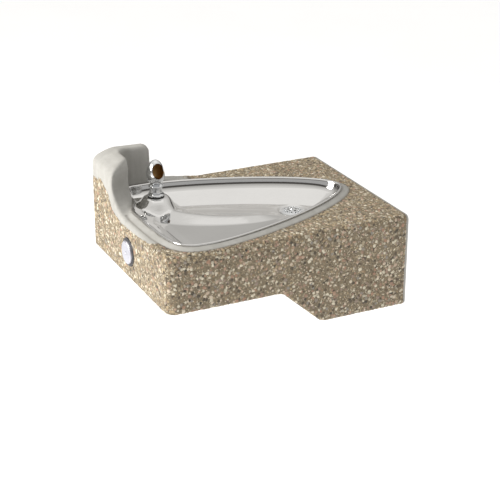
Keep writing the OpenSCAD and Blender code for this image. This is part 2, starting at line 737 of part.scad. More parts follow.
module valve_stem() {
    color("silver") at_valve(0) difference() {
        union() {
            at(0, 0, stem_from + 0.1) cylinder(r = stem_r, h = washer_l + washer_t - stem_from - 0.1);
            at(0, 0, washer_l + washer_t) cylinder(r = 4.6, h = 1.6);
        }
        at(0, 0, stem_from) cylinder(r = 1.6 + run_c, h = screw_l + 2);
    }
}
module seat_washer() {
    color([0.1, 0.1, 0.1]) at_valve(washer_l) ring_solid(5.6, stem_r, washer_t);
}
module stream_screw() {
    color("goldenrod") at_valve(stem_from + 1) difference() {
        cylinder(r = 1.6, h = screw_l);
        at(-2, -0.3, -0.1) cube([4, 0.6, 0.9]);
    }
}
module inlet_screen() {
    color([0.7, 0.72, 0.73]) at_valve(cartridge_to) difference() {
        cylinder(r = bore_r - slip, h = screen_l - 0.1);
        at(0, 0, -1) cylinder(r = bore_r - 1.2, h = screen_l + 0.1);
        for (i = [0:5]) rotate([0, 0, 60 * i]) at(4.4, 0, 0) cylinder(r = 1.1, h = screen_l + 1);
        cylinder(r = 1.1, h = screen_l + 1);
    }
}

// ---- supply ----
function boss_r(tube_d) = tube_d / 2 + 2.6;
stop_z = deck - 122;
stop_r = 13;
ball_y = -48;
ball_r = 8;
inlet_y = -6;
inlet_l = 16;
ball_bore = 4;
stop_out = ball_y - 26;
supply_from = [stop_x, stop_out, stop_z];
supply_to = [0, front + inlet_to, axis_z];
module supply_tube() {
    color([0.75, 0.75, 0.7])
        bent_tube(supply_from, [0, -1, 0], supply_to, [0, 1, 0], 105, supply_d / 2, supply_d / 2 - 1.2, 20);
}
neck_r = 7;
neck_l = 18;
module stop_body() {
    color("goldenrod") difference() {
        union() {
            at(stop_x, inlet_y, stop_z) along_front() cylinder(r = stop_r,
                h = inlet_y - ball_y + ball_r + 3);
            at(stop_x, ball_y, stop_z) along_front() cylinder(r = boss_r(supply_d), h = ball_y - stop_out);
            at(stop_x, ball_y, stop_z - neck_l) cylinder(r = neck_r, h = neck_l);
        }
        at(stop_x, inlet_y + 1, stop_z) along_front() cylinder(r = inlet_r, h = inlet_l + 1);
        at(stop_x, inlet_y, stop_z) along_front() cylinder(r = ball_bore, h = 80);
        at(stop_x, ball_y, stop_z) sphere(r = ball_r + run_c);
        at(stop_x, ball_y, stop_z - neck_l - 1) cylinder(r = ball_bore + run_c, h = neck_l);
        at(stop_x, stop_out + socket_in + 1, stop_z) along_front() cylinder(r = supply_d / 2 + slip,
            h = socket_in + 2);
    }
}
pin_r = 2.5;
pin_z = -ball_r + 2;
module stop_ball() {
    color([0.85, 0.86, 0.88]) at(stop_x, ball_y, stop_z) difference() {
        sphere(r = ball_r);
        at(0, 20, 0) along_front() cylinder(r = ball_bore, h = 40);
        at(0, 0, -ball_r - 1) cylinder(r = pin_r, h = pin_z + ball_r + 1);
    }
}
module stop_stem() {
    color("silver") at(stop_x, ball_y, stop_z) difference() {
        union() {
            at(0, 0, -neck_l - 5) cylinder(r = ball_bore, h = neck_l + 5 - ball_r - 0.4);
            at(0, 0, -ball_r - 1) cylinder(r = pin_r, h = pin_z + ball_r + 1);
        }
        at(-5, -0.6, -neck_l - 6) cube([10, 1.2, 2.5]);
    }
}
module packing_nut() {
    color("goldenrod") at(stop_x, ball_y, stop_z - neck_l - 3) difference() {
        cylinder(r = 10, h = 6.5, $fn = 6);
        at(0, 0, 3) cylinder(r = neck_r + 0.02, h = 10);
        at(0, 0, -1) cylinder(r = ball_bore + run_c, h = 10);
    }
}

// Every tube end: the fitting's mouth, the turn that points +Z out of it, the tube's diameter
tube_ends = [
    [supply_from, [90, 0, 0], supply_d], [supply_to, [-90, 0, 0], supply_d],
    [feed_from, [0, -90, 0], feed_d], [feed_to, [180, 0, 0], feed_d]];
sleeve_l = 3;
module compression_nuts() {
    color("goldenrod") for (e = tube_ends) at(e[0].x, e[0].y, e[0].z) rotate(e[1]) difference() {
        r = e == tube_ends[3] ? shank_d / 2 : boss_r(e[2]);
        at(0, 0, -7) cylinder(r = r + 3, h = 7 + sleeve_l + 2.5, $fn = 6);
        at(0, 0, -8) cylinder(r = r + 0.02, h = 8 + sleeve_l + 0.2);
        cylinder(r = e[2] / 2 + slip, h = 20);
    }
}
module compression_sleeves() {
    color([0.85, 0.75, 0.4]) for (e = tube_ends) at(e[0].x, e[0].y, e[0].z) rotate(e[1])
        at(0, 0, 0.1) ring_solid(e[2] / 2 + 1.8, e[2] / 2, sleeve_l);
}

concrete_body();
reinforcing_bars();
wall_sleeves();
rear_access_plate();
front_access_plate();
access_plate_screws();
access_plate_inserts();
basin();
basin_seal();
basin_studs();
basin_clamp_bars();
basin_clamp_nuts();
bubbler_head();
bubbler_nozzle();
bubbler_gasket();
bubbler_washer();
bubbler_locknut();
bubbler_tube();
drain_strainer();
strainer_screw();
drain_body();
drain_gasket();
drain_locknut();
waste_elbow();
slip_nuts();
slip_washers();
waste_tube();
push_button();
button_housing();
housing_locknut();
valve_body();
valve_cartridge();
cartridge_seals();
valve_stem();
stem_seal();
seat_washer();
return_spring();
stream_screw();
inlet_screen();
supply_tube();
stop_body();
stop_ball();
stop_stem();
packing_nut();
compression_nuts();
compression_sleeves();
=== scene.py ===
import bpy, bmesh, json, math
import numpy as np
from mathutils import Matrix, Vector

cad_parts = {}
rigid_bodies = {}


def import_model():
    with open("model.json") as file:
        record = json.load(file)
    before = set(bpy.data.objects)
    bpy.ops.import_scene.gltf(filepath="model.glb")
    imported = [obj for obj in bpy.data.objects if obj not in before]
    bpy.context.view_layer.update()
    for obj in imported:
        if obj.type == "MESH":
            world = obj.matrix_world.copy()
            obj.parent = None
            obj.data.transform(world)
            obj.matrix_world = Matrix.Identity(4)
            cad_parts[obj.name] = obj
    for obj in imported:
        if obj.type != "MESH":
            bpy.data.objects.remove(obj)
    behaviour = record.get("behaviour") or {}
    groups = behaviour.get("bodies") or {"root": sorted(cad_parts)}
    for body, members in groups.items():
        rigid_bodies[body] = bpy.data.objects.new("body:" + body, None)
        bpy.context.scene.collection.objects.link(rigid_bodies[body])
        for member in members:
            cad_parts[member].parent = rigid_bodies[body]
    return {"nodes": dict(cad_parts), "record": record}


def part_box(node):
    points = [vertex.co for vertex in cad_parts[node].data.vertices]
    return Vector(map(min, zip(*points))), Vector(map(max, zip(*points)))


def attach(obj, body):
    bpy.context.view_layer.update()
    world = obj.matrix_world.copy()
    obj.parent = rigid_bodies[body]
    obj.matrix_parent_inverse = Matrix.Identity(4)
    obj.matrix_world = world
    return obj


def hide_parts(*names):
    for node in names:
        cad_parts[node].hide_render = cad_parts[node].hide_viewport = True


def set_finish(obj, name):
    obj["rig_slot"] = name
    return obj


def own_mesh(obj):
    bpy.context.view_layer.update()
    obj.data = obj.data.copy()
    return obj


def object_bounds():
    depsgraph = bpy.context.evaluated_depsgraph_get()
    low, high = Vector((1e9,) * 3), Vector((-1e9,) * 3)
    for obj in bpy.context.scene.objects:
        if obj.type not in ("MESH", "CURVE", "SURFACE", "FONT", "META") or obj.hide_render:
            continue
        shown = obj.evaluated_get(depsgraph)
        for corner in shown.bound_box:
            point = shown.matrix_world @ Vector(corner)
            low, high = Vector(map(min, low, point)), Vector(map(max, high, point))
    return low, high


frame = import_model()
import openvdb
from mathutils import Matrix, Vector

cadLow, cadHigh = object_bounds()
print("frame loaded:", len(frame["nodes"]), "nodes")

mm = 0.001

# the cast body, in millimetres; heights are measured from the deck
body = {
    "width": 374, "length": 490, "frontHeight": 109, "rearHeight": 182,
    "slopeNear": 181, "slopeRun": 82, "wall": 24, "deck": 22, "floor": 20,
    "leftCorner": 10, "rightCorner": 20, "topEdge": 9, "lowEdge": 5,
    "grid": 2.6,          # spacing of the mesh
    "pebble": 6.0,        # spacing of the larger stones
    "pebbleReach": 3.4,   # from a stone's middle to its edge
    "pebbleShift": 0.95,  # how far a stone's middle lies from the ground between the stones
    "etch": 0.9,          # how far that ground lies from the smooth cement
}
deck = body["rearHeight"] / 2
side = body["width"] / 2
front = -body["length"]


def smooth(t):
    t = np.clip(t, 0, 1)
    return t * t * (3 - 2 * t)


def cubic(points, t):
    a, b, c, d = (np.array(p, float) for p in points)
    t = np.asarray(t, float)[:, None]
    return (1 - t) ** 3 * a + 3 * (1 - t) ** 2 * t * b + 3 * (1 - t) * t * t * c + t ** 3 * d


# the rim's outline, which the basin, the smooth band and the guard share
rim = {
    "sideMargin": 22, "frontMargin": 24, "tip": 45, "widest": 68,
    "guardFront": 46, "stepFrom": 33, "stepRun": 64, "corner": 24,
    "frontEase": 17, "frontBulge": 57, "rearBulge": 94, "tipEase": 69,    # reach of the curves' handles
}


def rimOutline(n):
    half = side - rim["sideMargin"]
    low = front + rim["frontMargin"]
    wide = low + rim["widest"]
    step = rim["guardFront"] - rim["frontMargin"]
    r = rim["corner"]
    frontCurve = [(0, low), (half - rim["frontEase"], low), (half, wide - rim["frontBulge"]), (half, wide)]
    tip = -rim["tip"]
    rearCurve = [(half, wide), (half, wide + rim["rearBulge"]), (rim["tipEase"], tip), (0, tip)]
    rear = cubic(rearCurve, np.linspace(0, 1, n + 1))
    turn = np.radians(np.linspace(180, 270, n // 3 + 1))
    corner = np.stack([r - half + r * np.cos(turn), low + step + r + r * np.sin(turn)], 1)
    xs = np.linspace(half - r, 0, n + 1)[1:-1]
    stepped = np.stack([-xs, low + step * smooth((xs - rim["stepFrom"]) / rim["stepRun"])], 1)
    parts = [cubic(frontCurve, np.linspace(0, 1, n, endpoint=False)), rear,
             rear[-2::-1] * [-1, 1], corner, stepped]
    return np.concatenate(parts)


def evenly(points, n):
    # the closed outline again, with n points at equal spacing
    loop = np.vstack([points, points[:1]])
    along = np.r_[0, np.cumsum(np.hypot(*np.diff(loop, axis=0).T))]
    at = np.linspace(0, along[-1], n, endpoint=False)
    return np.stack([np.interp(at, along, loop[:, k]) for k in (0, 1)], 1)


outline = evenly(rimOutline(40), 260)


def outward(points):
    d = np.roll(points, -1, 0) - np.roll(points, 1, 0)
    d /= np.linalg.norm(d, axis=1)[:, None]
    return np.stack([d[:, 1], -d[:, 0]], 1)


def polygonDistance(x, y, points):
    # signed distance to a closed polygon, negative inside
    best = np.full(np.broadcast(x, y).shape, 1e18)
    inside = np.zeros(best.shape, bool)
    for (ax, ay), (bx, by) in zip(points, np.roll(points, -1, 0)):
        ex, ey = bx - ax, by - ay
        t = np.clip(((x - ax) * ex + (y - ay) * ey) / (ex * ex + ey * ey + 1e-12), 0, 1)
        best = np.minimum(best, (x - ax - t * ex) ** 2 + (y - ay - t * ey) ** 2)
        crosses = (ay > y) != (by > y)
        if ey:
            inside ^= crosses & (x < ex * (y - ay) / ey + ax)
    return np.where(inside, -1, 1) * np.sqrt(best)


def roundBoth(a, b, r):
    # both shapes at once, with a rounded edge where they meet
    u, v = np.maximum(a + r, 0), np.maximum(b + r, 0)
    return np.minimum(np.maximum(a, b), -r) + np.hypot(u, v)


def roundEither(a, b, r):
    return -roundBoth(-a, -b, r)


def makePiece(name, points, faces, bodyName, slotName, nodes):
    mesh = bpy.data.meshes.new(name)
    mesh.from_pydata((np.asarray(points) * mm).tolist(), [], [list(f) for f in faces])
    mesh.validate()
    mesh.shade_smooth()
    piece = bpy.data.objects.new(name, mesh)
    bpy.context.scene.collection.objects.link(piece)
    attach(piece, bodyName)
    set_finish(piece, slotName)
    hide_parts(*nodes)
    return piece


def gridFaces(rows, columns, closedRows=False):
    k = np.arange(columns)
    faces = []
    for i in range(rows if closedRows else rows - 1):
        a, b = i * columns, (i + 1) % rows * columns
        n = (k + 1) % columns
        faces.append(np.stack([a + k, a + n, b + n, b + k], 1))
    return np.concatenate(faces)


def sharpen(piece, angle=35):
    # smooth shading everywhere but at real edges
    mesh = piece.data
    work = bmesh.new()
    work.from_mesh(mesh)
    bmesh.ops.recalc_face_normals(work, faces=work.faces)
    for e in work.edges:
        e.smooth = len(e.link_faces) < 2 or e.calc_face_angle(0) < math.radians(angle)
    for f in work.faces:
        f.smooth = True
    work.to_mesh(mesh)
    work.free()


def cut(piece, cutter):
    # takes the cutter out of the piece, for good
    change = piece.modifiers.new("cut", "BOOLEAN")
    change.object, change.solver = cutter, "EXACT"
    bpy.context.view_layer.update()
    evaluated = piece.evaluated_get(bpy.context.evaluated_depsgraph_get())
    result = bpy.data.meshes.new_from_object(evaluated)
    piece.modifiers.clear()
    piece.data = result
    bpy.data.objects.remove(cutter)


def turned(name, profile, bodyName, slotName, nodes, place, axis="z"):
    # a closed profile of radius and height, turned about its axis
    columns = 128
    profile = np.array(profile, float)
    a = np.linspace(0, 2 * np.pi, columns, endpoint=False)
    r, h = profile[:, 0][:, None], profile[:, 1][:, None]
    x, y, z = r * np.cos(a), r * np.sin(a), h + 0 * a
    if axis == "y":
        x, y, z = x, z, -y
    points = np.stack([x, y, z], -1).reshape(-1, 3) + place
    faces = gridFaces(len(profile), columns, True)
    piece = makePiece(name, points, faces, bodyName, slotName, nodes)
    work = bmesh.new()
    work.from_mesh(piece.data)
    bmesh.ops.remove_doubles(work, verts=work.verts, dist=1e-6)
    bmesh.ops.dissolve_degenerate(work, edges=work.edges, dist=1e-7)
    work.to_mesh(piece.data)
    work.free()
    sharpen(piece)
    return piece


def arcPoints(cx, cy, r, a0, a1, n):
    a = np.radians(np.linspace(a0, a1, n))
    return [(cx + r * math.cos(t), cy + r * math.sin(t)) for t in a]


# the splash guard, its lean in degrees, and the smooth band of cement round the rim
guard = {"height": 87, "sideLength": 114, "frontLength": 92, "lean": 32, "edge": 6}
# the band's last two numbers are the widths of the painted shade lines in its step and where it meets the
# rim
band = {"width": 14, "rise": 2.2, "swell": 3.2, "below": 20, "edge": 14.8, "shadeLine": 1.6, "rimShadeLine": 1.2}

# what passes through the concrete: the button, the wall bolts' sleeves, the service opening and the plates
opening = {
    "buttonZ": -56, "buttonHole": 17.6, "buttonWall": 40, "buttonSeat": 27.6, "seatDepth": 10,
    "sleeves": [(x, z) for x in (-127, 127) for z in (-51, 51)], "sleeve": 10.2,
    "serviceX": 33, "serviceHalf": 65, "serviceLow": 22, "serviceHigh": 84,
    "plateGap": 0.6, "plateSeat": 2, "ledge": 20, "hatch": 30,
}

# where the smooth cement ends: height over the deck along the front face, and back along the left side
cementEdge = {
    "front": ([-187, -174, -134, -98, -78, -28, 43, 97, 125, 187], [36, 38, 43, 26, 0, -10.5, -7, -3, 4, 9]),
    "side": ([0, 88, 112, 135, 170, 235, 260], [36, 34, 20, 9, 4, 1, 12]),
}


def stoneNoise(points, spacing, seed):
    # distance to the nearest of many scattered points, and that point's own random number
    cell = np.floor(points / spacing).astype(np.int64)
    nearest = np.full(len(points), 1e9)
    own = np.zeros(len(points))
    for dx in (-1, 0, 1):
        for dy in (-1, 0, 1):
            for dz in (-1, 0, 1):
                c = cell + (dx, dy, dz)
                h = (c[:, 0] * 73856093) ^ (c[:, 1] * 19349663) ^ (c[:, 2] * 83492791) ^ seed
                jitter = np.stack([((h * m) % 99991) / 99991 for m in (31, 57, 97)], 1)
                d = np.linalg.norm((c + jitter) * spacing - points, axis=1)
                near = d < nearest
                nearest = np.where(near, d, nearest)
                own = np.where(near, jitter[:, 0], own)
    return nearest, own


def hollowOutline():
    # the hollow's section seen from the side
    b, w = body, body["wall"]
    return np.array([(-w, -b["deck"]), (-w, b["floor"] - b["rearHeight"]),
                     (-b["slopeNear"] + 5, b["floor"] - b["rearHeight"]),
                     (-b["slopeNear"] - b["slopeRun"] + 5, b["floor"] - b["frontHeight"]),
                     (front + w, b["floor"] - b["frontHeight"]), (front + w, -b["deck"])])


def addGuard(shape, plan, rimGap, x, y, z):
    # the guard, cut to its outline from the side, from the front and in plan
    top, rear = guard["height"], front + guard["sideLength"]
    sideView = [(front - 30, -30), (front - 30, top - 36), (front, top - 18), (front + 12, top - 10),
                (front + 30, top - 3), (front + 44, top), (rear - 12, top - 2), (rear - 5, top - 5),
                (rear - 1, top - 12), (rear, top - 44), (rear, -30)]
    endX = -side + guard["frontLength"]
    lean = math.tan(math.radians(guard["lean"]))
    endView = [(-300, -30), (-300, top + 9), (4, top + 9), (12, top - 2), (18, top - 12), (20, 66), (18, 56),
               (17, 48), (18.5, 38), (23, 29), (31, 20), (42, 12.5), (58, 6), (84, 1), (84, -30)]
    fromSide = polygonDistance(y[0], z[0], np.array(sideView))[None]
    # only the grid's corner round the guard is worked out
    near = (slice(0, int((endX + 90 - x[0, 0, 0]) / body["grid"])),
            slice(0, int((rear + 12 - y[0, 0, 0]) / body["grid"])))
    xs, ys, zs = (v[near] if v.shape[0] > 1 or v.shape[1] > 1 else v for v in np.broadcast_arrays(x, y, z))
    fromFront = polygonDistance(xs - endX + lean * (ys - front), zs, np.array(endView))
    inPlan = np.maximum(plan, 0.6 - rimGap)
    wall = roundBoth(roundBoth(fromSide[:, near[1]] + 0 * xs, fromFront, 5), inPlan[near], guard["edge"])
    # behind it the top edge sweeps down to the deck
    swoop = [(rear - 6, -20), (rear - 6, 44), (rear, 34), (rear + 4, 21), (rear + 12, 15), (rear + 26, 11),
             (rear + 56, 7), (rear + 100, -1), (rear + 100, -20)]
    tail = roundBoth(polygonDistance(y[0], z[0], np.array(swoop))[None] + 0 * x, inPlan, 5)
    tail = np.where(x > -side + 40, 50, tail)
    shape[near] = roundEither(shape[near], wall, 0.5)
    return roundEither(shape, tail, 3)


def hollows(rimGap, x, y, z):
    # the hollow inside, its openings and the holes for what passes through
    o, wall = opening, body["wall"]
    inside = np.maximum(polygonDistance(y[0], z[0], hollowOutline())[None], abs(x) - side + wall)
    holes = [inside, np.maximum(rimGap + 5.5, -body["deck"] - 2 - z)]
    for name, through in (("rear_access_plate", -body["rearHeight"]),
                          ("front_access_plate", -body["frontHeight"])):
        low, high = (np.array(v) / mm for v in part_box(name))
        cx, cy = (low[:2] + high[:2]) / 2
        hx, hy = (high[:2] - low[:2]) / 2
        for grow, depth in ((o["plateGap"], o["plateSeat"]), (-o["ledge"], o["hatch"])):
            holes.append(np.maximum(np.maximum(abs(x - cx) - hx - grow, abs(y - cy) - hy - grow),
                                    z - through - depth))
    low, high = (o[k] - body["rearHeight"] for k in ("serviceLow", "serviceHigh"))
    service = np.maximum(abs(x - o["serviceX"]) - o["serviceHalf"],
                         abs(z - (low + high) / 2) - (high - low) / 2)
    holes.append(np.maximum(service, -wall - 4 - y))
    fromAxis = np.hypot(x, z - o["buttonZ"])
    holes.append(np.maximum(fromAxis - o["buttonHole"], y - front - o["buttonWall"]))
    holes.append(np.maximum(fromAxis - o["buttonSeat"], y - front - o["seatDepth"]))
    for bx, bz in o["sleeves"]:
        holes.append(np.maximum(np.hypot(x - bx, z + deck - bz) - o["sleeve"], -wall - 4 - y))
    return holes


def castShape(x, y, z):
    # signed distance to the body's surface; z is measured from the deck
    b = body
    plan = np.maximum(
        roundBoth(x - side, front - y, b["rightCorner"]),
        roundBoth(-x - side, front - y, b["leftCorner"]))
    run, drop = b["slopeRun"], b["rearHeight"] - b["frontHeight"]
    slope = (-(y + b["slopeNear"] + run) * drop - (z + b["frontHeight"]) * run) / math.hypot(run, drop)
    under = roundEither(-b["frontHeight"] - z, roundBoth(slope, -b["rearHeight"] - z, 5), 5)
    shape = roundBoth(plan, z + 0 * y, b["topEdge"])
    shape = roundBoth(shape, under, b["lowEdge"])
    rimGap = polygonDistance(x[:, :, 0], y[:, :, 0], outline)[:, :, None]
    # the smooth band rises to the rim
    rise = band["rise"] + band["swell"] * smooth(1 - rimGap / band["width"])
    strip = np.maximum(np.maximum(z - rise, rimGap - band["width"]), -band["below"] - z)
    shape = addGuard(roundEither(shape, strip, 0.8), plan, rimGap, x, y, z)
    shape = roundBoth(shape, y + 0 * shape, 1.2)
    for hole in hollows(rimGap, x, y, z):
        shape = np.maximum(shape, -hole)
    return shape


def cementDepth(p):
    # how far a point lies inside the smooth cement, in mm; the etched faces are negative
    x, y, z = p.T
    z = z - deck
    rimGap = polygonDistance(x, y, outline)
    away = -30        # for points that a part of the mask does not reach
    above = np.where(y < front + 30, z - np.interp(x, *cementEdge["front"]), away)
    onSide = np.where(x < -150, z - np.interp(y - front, *cementEdge["side"]), away)
    strip = np.where(z > -14, band["width"] + 0.5 - rimGap, away)
    guardInside = np.where((z > 3) & (y > front + 5) & (y < front + 110) & (x > 6 - side), 10, away)
    wallFace = y + 6
    hollow = 5 - np.maximum(polygonDistance(y, z, hollowOutline()), abs(x) - side + body["wall"])
    return np.clip(np.maximum.reduce([above, onSide, strip, guardInside, wallFace, hollow]), -12, 12)


def castBody():
    h = body["grid"]
    xs, ys = np.arange(-side - 9, side + 9 + h, h), np.arange(front - 9, 9 + h, h)
    zs = np.arange(-body["rearHeight"] - 9, guard["height"] + 9 + h, h)
    x, y, z = xs[:, None, None], ys[None, :, None], zs[None, None, :]
    shape = castShape(x + 0 * y, y + 0 * x, z)
    volume = openvdb.FloatGrid(background=20.0)
    volume.copyFromArray(np.clip(shape, -20, 20).astype(np.float32))
    points, quads = volume.convertToQuads(0.0)
    points = points * h + [xs[0], ys[0], zs[0] + deck]
    piece = makePiece("concreteBody", points, quads[:, ::-1], "fountain", "exposed_aggregate",
                      ["concrete_body"])
    mesh = piece.data
    count = len(mesh.vertices)
    co, normal = np.zeros(count * 3), np.zeros(count * 3)
    mesh.vertices.foreach_get("co", co)
    mesh.vertices.foreach_get("normal", normal)
    co, normal = co.reshape(-1, 3) / mm, normal.reshape(-1, 3)
    depth = cementDepth(co)
    # this mesh's faces point inwards, so on the etched faces the ground between the stones stands
    # out by the etch, and the stones lie in shallow dimples
    gap, own = stoneNoise(co, body["pebble"], 11)
    stones = np.clip(1 - (gap / body["pebbleReach"]) ** 2, 0, 1) * (0.35 + 0.65 * own)
    etched = smooth(0.5 - depth / 2)
    co += normal * (etched * (stones * body["pebbleShift"] - body["etch"]))[:, None]
    mesh.vertices.foreach_set("co", (co * mm).ravel())
    layer = mesh.attributes.new("cement", "FLOAT", "POINT")
    layer.data.foreach_set("value", (depth / 12).astype(np.float32))
    # painted shade lies in the step round the band, and where the band meets the rim
    stepGap = polygonDistance(co[:, 0], co[:, 1], outline) - band["edge"]
    grime = np.exp(-(stepGap / band["shadeLine"]) ** 2) * (abs(co[:, 2] - deck - 1) < 3)
    grime += np.exp(-((stepGap + 14.6) / band["rimShadeLine"]) ** 2) * (abs(co[:, 2] - deck - 3) < 6)
    layer = mesh.attributes.new("grime", "FLOAT", "POINT")
    layer.data.foreach_set("value", grime.astype(np.float32))
    mesh.update()
    print("cast body:", count, "points")
    return piece


# the sheet basin; depths are taken from the deck, and pairs run from the bubbler to the drain
basin = {
    "sheet": 1.2, "edge": 13, "depth": 31, "inset": 20, "hub": 29, "drain": (0, -149), "rings": 100,
    "bubbler": (-100, -392), "pedestal": 20, "pedestalRun": 24, "pedestalTop": 4, "shankHole": 9.2,
    "ridge": (15, 5), "ridgeWidth": (44, 15), "plateau": 1.1,
    "sideRun": 32, "floorFall": 6, "gutter": 1.0, "gutterWidth": 15,
    "seat": [(27.5, -32.6), (25.5, -33.8), (23, -34), (21.4, -34)],    # radius and height round the drain
}
# the rolled rim's section, out from the outline and up from the deck
lip = [(0.2, 5.7), (0.5, 6.9), (0, 8), (-1.2, 8.8), (-2.7, 9), (-4.1, 8.4), (-5.2, 7.2), (-6, 5.4),
       (-7.2, 2.2), (-8.8, -1.4), (-10.8, -5), (-13.2, -8.4), (-16.2, -11.2)]


def ridgePath():
    bx, by = basin["bubbler"]
    dx, dy = basin["drain"]
    handles = [(bx + 12, by + 6), (bx + 62, by + 6), (dx + 30, dy - 110), (dx + 6, dy - 30)]
    return cubic(handles, np.linspace(0, 1, 60))


def bowlHeight(p, f):
    # f is 0 under the rim and 1 at the drain
    path = ridgePath()
    gaps = np.hypot(p[:, None, 0] - path[None, :, 0], p[:, None, 1] - path[None, :, 1])
    # the ridge fans out at the bubbler and narrows towards the drain
    t = np.linspace(0, 1, len(path))
    high, wide = (a + (b - a) * t ** 0.7 for a, b in (basin["ridge"], basin["ridgeWidth"]))
    crest = np.clip(basin["plateau"] - gaps / wide, 0, 1)
    swirl = np.max(high * crest, 1) * smooth(f * 6) * smooth((1 - f) * 5)
    away = np.hypot(p[:, 0] - basin["bubbler"][0], p[:, 1] - basin["bubbler"][1])
    lift = smooth(1 - (away - basin["pedestal"]) / basin["pedestalRun"])
    # the sides slope down to a shallow gutter, and the floor runs from there to the drain
    inward = -polygonDistance(p[:, 0], p[:, 1], outline) - basin["inset"]
    fall = basin["depth"] - basin["edge"] - basin["floorFall"]
    down = np.maximum(np.clip(inward / basin["sideRun"], 0, 1), f)
    dish = basin["edge"] + fall * down + basin["floorFall"] * f
    gutter = np.clip(1 - abs(inward - basin["sideRun"] - 2) / basin["gutterWidth"], 0, 1)
    dish = dish + basin["gutter"] * gutter * smooth((1 - f) * 5)
    return (swirl - dish) * (1 - lift) + basin["pedestalTop"] * lift


def makeBasin():
    n = len(outline)
    away = outward(outline)
    drain = np.array(basin["drain"], float)
    edge = outline - away * basin["inset"]
    hub = drain + basin["hub"] * (edge - drain) / np.linalg.norm(edge - drain, axis=1)[:, None]
    rings = [np.c_[outline + away * d, np.full(n, z)] for d, z in lip]
    for f in np.linspace(0, 1, basin["rings"]):
        p = edge * (1 - f) + hub * f
        rings.append(np.c_[p, bowlHeight(p, np.full(n, f))])
    toward = (hub - drain) / basin["hub"]
    for r, z in basin["seat"]:
        rings.append(np.c_[drain + toward * r, np.full(n, z)])
    top = np.array(rings)
    # the underside follows the top at the sheet's thickness
    across = np.roll(top, -1, 1) - np.roll(top, 1, 1)
    along = np.gradient(top, axis=0)
    normal = np.cross(along, across)
    normal /= np.linalg.norm(normal, axis=2)[:, :, None] + 1e-9
    normal *= np.where(np.median(normal[20, :, 2]) > 0, 1, -1)
    under = top - normal * basin["sheet"]
    skin = np.concatenate([top, under[::-1]])
    skin[:, :, 2] += deck
    piece = makePiece("basin", skin.reshape(-1, 3), gridFaces(len(skin), n, True), "fountain",
                      "polished_steel", ["basin"])
    sharpen(piece, 50)
    bpy.ops.mesh.primitive_cylinder_add(radius=basin["shankHole"] * mm, depth=0.06, vertices=48, location=(
        basin["bubbler"][0] * mm, basin["bubbler"][1] * mm, deck * mm))
    cut(piece, bpy.context.object)
    sharpen(piece, 50)
    print("basin:", len(piece.data.vertices), "points")
    return piece


# the bubbler stands on the basin's pedestal; its mouth is a cylinder cut, "tall" times as high as wide
bubbler = {
    "place": (*basin["bubbler"], deck + basin["pedestalTop"]), "neck": 25.5, "neckTop": 23, "foot": 16,
    "hood": 36, "hoodHeight": 51, "wall": 2.2, "mouth": 11.5, "tall": 1.3, "tilt": 66,
    "shank": 18, "shankLength": 40, "water": 4, "liningDrop": 23, "liningReach": 23.5,
}


def hoodPoint(a, shrink):
    # the hood's section is an ellipse, a little narrower towards its top
    r, h = bubbler["hood"] / 2 - shrink, bubbler["hoodHeight"] / 2 - shrink
    a = math.radians(a)
    return (max(0, r * math.cos(a) * (1 - 0.12 * math.sin(a))) if a < 1.57 else 0,
            bubbler["neckTop"] + bubbler["hoodHeight"] / 2 + h * math.sin(a))


def makeBubbler():
    b = bubbler
    n, top = b["neck"] / 2, b["neckTop"]
    outer = [hoodPoint(a, 0) for a in np.linspace(-60, 90, 46)]
    inner = [hoodPoint(a, b["wall"]) for a in np.linspace(90, -45, 40)]
    f = b["foot"]
    foot = [(b["water"], -b["shankLength"]), (b["shank"] / 2, -b["shankLength"]), (b["shank"] / 2, 2),
            (f - 0.4, 2), (f, 2.4), (f, 4.4), (f - 0.5, 5)]
    flare = [(n + 2.4 * (1 - t) ** 2.4, 5.4 + 7 * t) for t in np.linspace(0, 1, 9)]
    collar = [(n - 0.7, top - 5), (n - 0.4, top - 3.6)] + arcPoints(n - 0.2, top - 1.4, 2.0, -75, 75, 9)
    profile = foot + flare + collar + outer + inner + [(b["water"], inner[-1][1])]
    place = np.array(b["place"])
    piece = turned("bubblerHead", profile, "fountain", "chrome_plate", ["bubbler_head"], place)
    middle = Vector(b["place"]) + Vector((0, 0, top + b["hoodHeight"] / 2))
    tilt = Matrix.Rotation(math.radians(b["tilt"]), 4, "Y")
    bpy.ops.mesh.primitive_cylinder_add(radius=b["mouth"] * mm, depth=0.04, vertices=96)
    cutter = bpy.context.object
    tall = Matrix.Diagonal((b["tall"], 1, 1, 1))
    cutter.matrix_world = Matrix.Translation(middle * mm) @ tilt @ tall @ Matrix.Translation((0, 0, 0.02))
    cut(piece, cutter)
    sharpen(piece, 30)
    print("bubbler head made")
    return piece


def lineHood(piece, lining):
    # the hood's inside is bare brass
    piece.data.materials.append(lining)
    b = bubbler
    middle = Vector((*b["place"][:2], b["place"][2] + b["neckTop"] + b["hoodHeight"] / 2)) * mm
    for face in piece.data.polygons:
        out = face.center - middle
        near = face.center.z > middle.z - b["liningDrop"] * mm and out.length < b["liningReach"] * mm
        if near and face.normal.dot(out) < 0:
            face.material_index = 1


# push button and its ring; along their axis, negative is out of the front face
button = {"radius": 22.5, "out": 5.5, "hub": 7.95, "hubEnd": 16, "hole": 2.2, "axisZ": 35, "stem": 3.05}
ring = {"radius": 27.3, "bore": 23, "sleeve": 17.3, "sleeveBore": 13, "guide": 8, "proud": 1.5, "length": 36}


